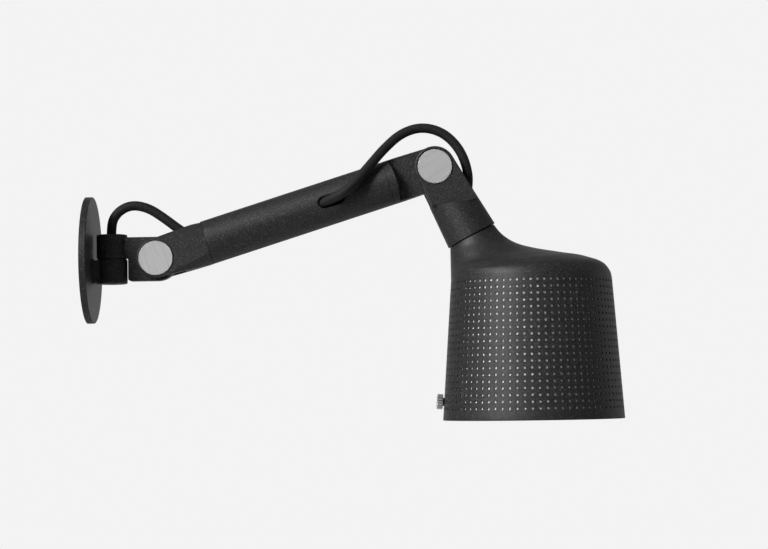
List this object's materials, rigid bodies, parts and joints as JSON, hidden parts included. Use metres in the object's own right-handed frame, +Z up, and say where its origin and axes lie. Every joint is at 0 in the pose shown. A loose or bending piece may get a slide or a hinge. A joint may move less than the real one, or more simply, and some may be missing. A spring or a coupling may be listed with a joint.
{
  "type": "wall lamp",
  "caption": "Wall lamp: round plate, swivel knuckle, straight jointed arm and a tilting perforated metal shade with a dimmer knob; a braided cord loops over the pivots.",
  "frame": {"origin": "centre of the wall plate's back face, on the wall", "axes": "+X straight out of the wall, along the arm; +Z up; +Y to complete a right-handed frame"},
  "size_m": [0.422, 0.1428, 0.2356],
  "materials": {
    "black_powder_coat": "matte",
    "black_steel": "satin",
    "brushed_steel": "satin",
    "zinc_steel": "satin",
    "washer_plastic": "matte",
    "bush_rubber": "matte",
    "braided_cord": "matte",
    "wire_insulation": "matte",
    "holder_plastic": "satin",
    "dimmer_plastic": "matte",
    "liner_white": "matte",
    "contact_brass": "satin",
    "bulb_metal": "satin",
    "opal_glass": "satin"
  },
  "bodies": {
    "wall_mount": {"wall_plate": "black_powder_coat", "wall_bracket": "zinc_steel", "plate_grub_screws": "black_steel", "hinge_base": "black_powder_coat", "hinge_base_screws": "zinc_steel", "barrel_plug": "black_steel", "swivel_washer": "washer_plastic", "supply_wires": "wire_insulation"},
    "swivel": {"swivel_block": "black_powder_coat", "swivel_tube": "zinc_steel", "swivel_nut": "zinc_steel", "swivel_spring_washer": "zinc_steel", "cord_bush": "bush_rubber", "cord_loop_wall": "braided_cord"},
    "arm": {"arm_fork": "black_powder_coat", "arm_tube": "black_powder_coat", "arm_end": "black_powder_coat", "tube_grub_screws": "black_steel", "elbow_screw": "brushed_steel", "elbow_sleeve_nut": "brushed_steel", "elbow_friction_washers": "washer_plastic", "cord_in_arm": "braided_cord", "cord_loop_head": "braided_cord"},
    "head": {"head_yoke": "black_powder_coat", "head_screw": "brushed_steel", "head_sleeve_nut": "brushed_steel", "head_friction_washers": "washer_plastic", "neck_tube": "zinc_steel", "neck_washer_upper": "washer_plastic", "neck_washer_lower": "zinc_steel", "neck_nut": "zinc_steel", "lampholder_cap": "holder_plastic", "lampholder_body": "holder_plastic", "lampholder_contact": "contact_brass", "bulb_base": "bulb_metal", "bulb_globe": "opal_glass"},
    "shade": {"lamp_shade": "black_powder_coat", "shade_liner": "liner_white", "dimmer_bush": "black_steel", "dimmer_nut": "zinc_steel", "dimmer_body": "dimmer_plastic", "dimmer_lead": "wire_insulation"},
    "knob": {"dimmer_knob": "brushed_steel", "dimmer_shaft": "zinc_steel"}
  },
  "joints": [
    {"name": "wall_swivel", "type": "hinge", "parent": "wall_mount", "child": "swivel", "pos_m": [0.0196, 0, 0], "axis": [0, 0, 1], "range_deg": [-75, 75]},
    {"name": "arm_tilt", "type": "hinge", "parent": "swivel", "child": "arm", "pos_m": [0.0556, 0, 0.00035], "axis": [0, -1, 0], "range_deg": [-60, 55], "deforming": ["cord_loop_wall"]},
    {"name": "head_tilt", "type": "hinge", "parent": "arm", "child": "head", "pos_m": [0.27555, 0, 0.06928], "axis": [0, -1, 0], "range_deg": [-25, 80], "deforming": ["cord_loop_head"]},
    {"name": "shade_turn", "type": "hinge", "parent": "head", "child": "shade", "pos_m": [0.30433, 0, 0.0147], "axis": [0.4664, 0, -0.8846], "range_deg": [-90, 90]},
    {"name": "knob_turn", "type": "hinge", "parent": "shade", "child": "knob", "pos_m": [0.28022, 0, -0.1157], "axis": [-0.9973, 0, 0.0729], "range_deg": [-140, 140]}
  ]
}
